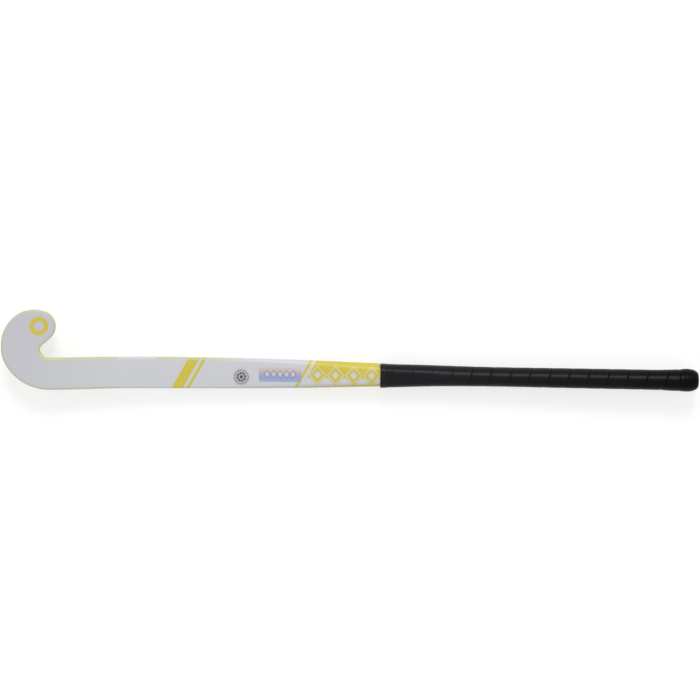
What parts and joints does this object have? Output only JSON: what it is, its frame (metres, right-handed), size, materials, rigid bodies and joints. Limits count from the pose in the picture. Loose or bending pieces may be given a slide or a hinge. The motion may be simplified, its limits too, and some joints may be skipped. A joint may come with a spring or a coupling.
{
  "type": "indoor hockey stick",
  "caption": "Bowed composite indoor hockey stick with a hooked head, flat playing side, crowned back, wound grip tape and ringed rubber butt cap.",
  "frame": {"origin": "below the middle of the stick, at the height of the lowest point of its back", "axes": "+X from the hook to the butt along the shaft, +Y from the shaft towards the toe, +Z out of the flat playing side"},
  "size_m": [0.9268, 0.1074, 0.0451],
  "materials": {
    "painted_laminate": "satin white paint over laminate, with a yellow edge and yellow printed shapes",
    "tube_laminate": "bare carbon and glass laminate",
    "core_foam": "rigid foam",
    "plug_nylon": "moulded nylon",
    "cap_rubber": "smooth moulded rubber with rings",
    "grip_polymer": "soft cushioned polymer tape with a fine grain",
    "band_vinyl": "stretched vinyl",
    "sticker_paper": "printed paper under clear lacquer",
    "sticker_foil": "iridescent foil"
  },
  "bodies": {
    "root": {"laminate_shell": "painted_laminate", "head_core": "core_foam", "inner_tube_toe_side": "tube_laminate", "inner_tube_heel_side": "tube_laminate", "handle_foam_toe_side": "core_foam", "handle_foam_heel_side": "core_foam", "end_plug": "plug_nylon", "butt_cap": "cap_rubber", "grip_tape": "grip_polymer", "finishing_band": "band_vinyl", "round_sticker": "sticker_paper", "foil_sticker": "sticker_foil"}
  },
  "joints": []
}
